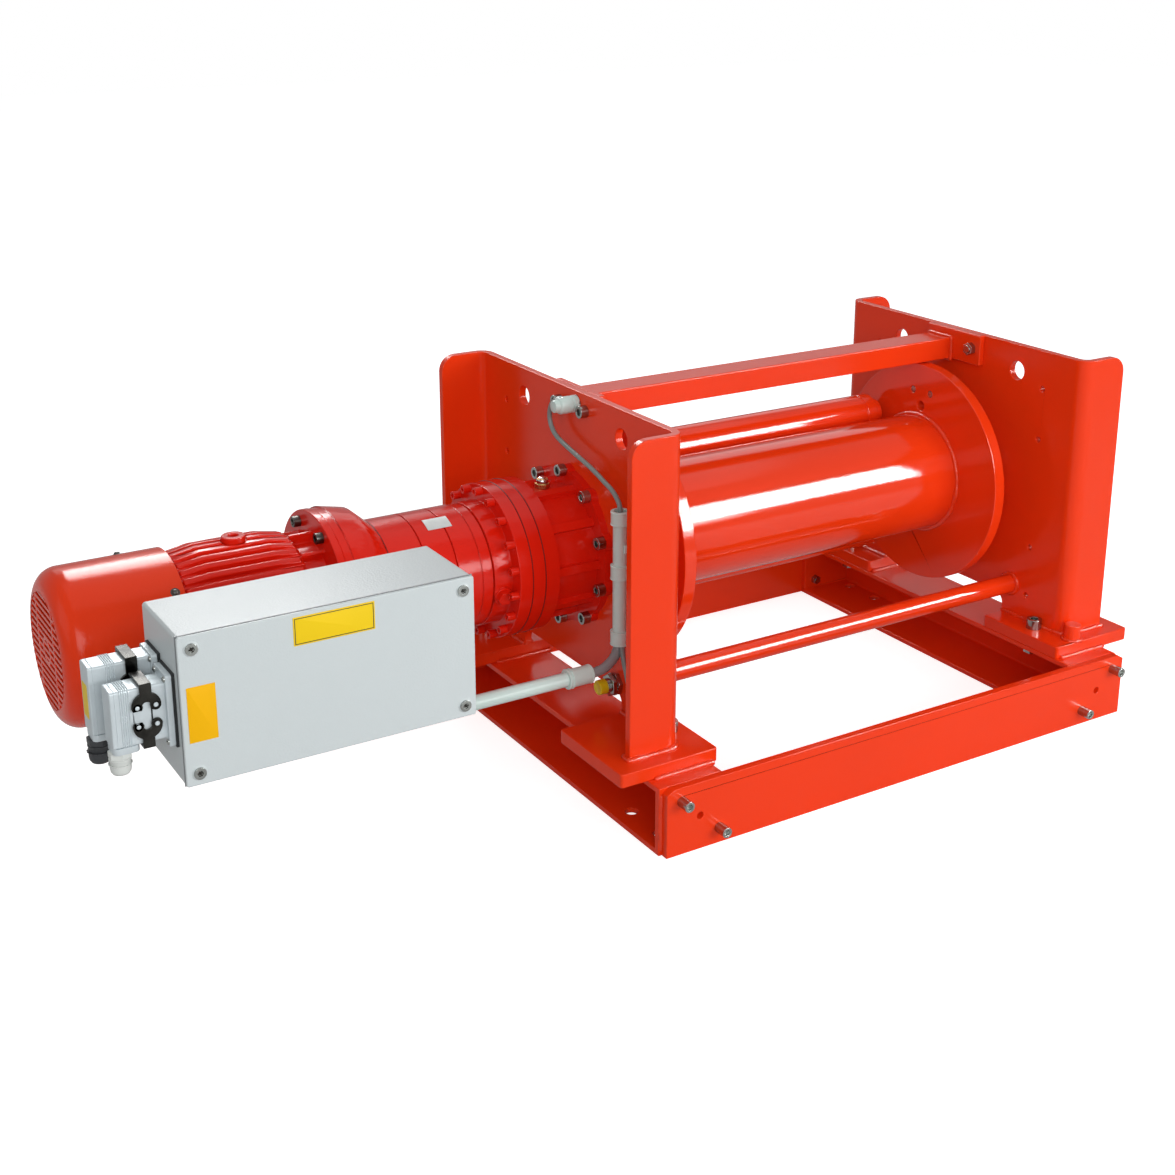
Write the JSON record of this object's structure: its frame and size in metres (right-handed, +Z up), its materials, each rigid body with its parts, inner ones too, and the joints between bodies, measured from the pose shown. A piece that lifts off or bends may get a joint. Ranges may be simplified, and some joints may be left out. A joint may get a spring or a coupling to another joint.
{
  "type": "electric winch",
  "caption": "Electric rope winch: flanged drum between two side frames on a bolted base, with a planetary gearbox, brake motor, pressure roller and control box.",
  "frame": {"origin": "centre of the base on its underside, between the four outer base bolts", "axes": "+X along the drum axis away from the motor, -Y to the front where the rope leaves, +Z up"},
  "size_m": [1.634, 0.725, 0.565],
  "materials": {
    "red_paint": "smooth red machine paint on steel",
    "cast_red": "red paint over cast iron",
    "drum_red": "red paint on the drum",
    "zinc": "bright zinc plating",
    "bare_steel": "turned and ground steel",
    "dark_steel": "blackened steel",
    "bronze": "bearing bronze and brass",
    "copper": "copper windings in a steel pack",
    "box_grey": "pale grey powder coat",
    "die_cast": "grey die-cast aluminium",
    "seal_black": "black rubber",
    "lever_dark": "dark passivated steel",
    "white_plastic": "off-white plastic",
    "grey_plastic": "grey cable sheath",
    "dark_plastic": "dark moulded plastic"
  },
  "bodies": {
    "frame": {"left_rail": "red_paint", "right_rail": "red_paint", "cross_plates": "red_paint", "cross_plate_screws": "zinc", "left_side_frame": "red_paint", "right_side_frame": "red_paint", "foot_plates": "red_paint", "foot_bolts": "zinc", "top_cross_bar": "red_paint", "web_screws": "zinc", "tie_rods": "red_paint", "drum_bearing": "bare_steel", "bearing_housing": "cast_red", "pivot_shaft": "bare_steel", "roller_springs": "dark_steel", "gearbox_housing": "cast_red", "ring_gear": "cast_red", "ring_gear_screws": "cast_red", "stage_housing": "cast_red", "gearbox_plugs": "cast_red", "adapter_dome": "cast_red", "motor_end_shield": "cast_red", "adapter_bolts": "dark_steel", "motor_housing": "cast_red", "stator": "copper", "shaft_bearings": "bare_steel", "brake": "dark_steel", "fan_cowl": "red_paint", "lifting_eye": "cast_red", "terminal_box": "cast_red", "control_box": "box_grey", "box_cover": "box_grey", "seals": "seal_black", "cover_screws": "zinc", "switchgear": "dark_plastic", "connector_bases": "die_cast", "connector_hoods": "die_cast", "glands": "dark_plastic", "conduits": "white_plastic", "cables": "grey_plastic"},
    "drum": {"drum_barrel": "drum_red", "drum_flanges": "drum_red", "drive_hub": "drum_red", "drum_fasteners": "zinc", "drum_journal": "bare_steel", "planet_carrier": "bare_steel"},
    "planet_1": {"planet_gear_1": "bare_steel"},
    "planet_2": {"planet_gear_2": "bare_steel"},
    "planet_3": {"planet_gear_3": "bare_steel"},
    "sun": {"sun_shaft": "bare_steel"},
    "rotor": {"rotor": "bare_steel", "fan": "dark_plastic"},
    "arms": {"roller_arms": "red_paint", "roller_axle": "bare_steel", "pivot_bushes": "bronze"},
    "roller": {"pressure_roller": "red_paint"},
    "upper_front_lever": {"upper_front_lever": "lever_dark"},
    "lower_front_lever": {"lower_front_lever": "lever_dark"},
    "upper_rear_lever": {"upper_rear_lever": "lever_dark"},
    "lower_rear_lever": {"lower_rear_lever": "lever_dark"}
  },
  "joints": [
    {"name": "drum_spin", "type": "hinge", "parent": "frame", "child": "drum", "pos_m": [0.006, 0, 0.333], "axis": [1, 0, 0], "continuous": true},
    {"name": "sun_spin", "type": "hinge", "parent": "frame", "child": "sun", "pos_m": [-0.5, 0, 0.333], "axis": [1, 0, 0], "continuous": true},
    {"name": "rotor_spin", "type": "hinge", "parent": "frame", "child": "rotor", "pos_m": [-0.89, 0, 0.333], "axis": [1, 0, 0], "continuous": true},
    {"name": "planet_1_spin", "type": "hinge", "parent": "drum", "child": "planet_1", "pos_m": [-0.491, 0, 0.387], "axis": [1, 0, 0], "continuous": true},
    {"name": "planet_2_spin", "type": "hinge", "parent": "drum", "child": "planet_2", "pos_m": [-0.491, 0.04677, 0.306], "axis": [1, 0, 0], "continuous": true},
    {"name": "planet_3_spin", "type": "hinge", "parent": "drum", "child": "planet_3", "pos_m": [-0.491, -0.04677, 0.306], "axis": [1, 0, 0], "continuous": true},
    {"name": "roller_swing", "type": "hinge", "parent": "frame", "child": "arms", "pos_m": [0.006, 0.215, 0.3], "axis": [-1, 0, 0], "range_deg": [0, 25], "stiffness_Nm_per_rad": 8, "springref_deg": -17.19},
    {"name": "roller_spin", "type": "hinge", "parent": "arms", "child": "roller", "pos_m": [0.006, 0.09989, 0.41303], "axis": [1, 0, 0], "continuous": true},
    {"name": "upper_front_lever_swing", "type": "hinge", "parent": "frame", "child": "upper_front_lever", "pos_m": [-1.094, -0.324, 0.392], "axis": [0, 1, 0], "range_deg": [0, 19]},
    {"name": "lower_front_lever_swing", "type": "hinge", "parent": "frame", "child": "lower_front_lever", "pos_m": [-1.094, -0.324, 0.37], "axis": [0, -1, 0], "range_deg": [0, 19]},
    {"name": "upper_rear_lever_swing", "type": "hinge", "parent": "frame", "child": "upper_rear_lever", "pos_m": [-1.094, -0.277, 0.398], "axis": [0, 1, 0], "range_deg": [0, 19]},
    {"name": "lower_rear_lever_swing", "type": "hinge", "parent": "frame", "child": "lower_rear_lever", "pos_m": [-1.094, -0.277, 0.376], "axis": [0, -1, 0], "range_deg": [0, 19]}
  ],
  "couplings": [
    {"joint": "sun_spin", "follows": "drum_spin", "ratio": 4.5},
    {"joint": "rotor_spin", "follows": "drum_spin", "ratio": 24.75},
    {"joint": "planet_1_spin", "follows": "drum_spin", "ratio": -2.8},
    {"joint": "planet_2_spin", "follows": "drum_spin", "ratio": -2.8},
    {"joint": "planet_3_spin", "follows": "drum_spin", "ratio": -2.8}
  ]
}
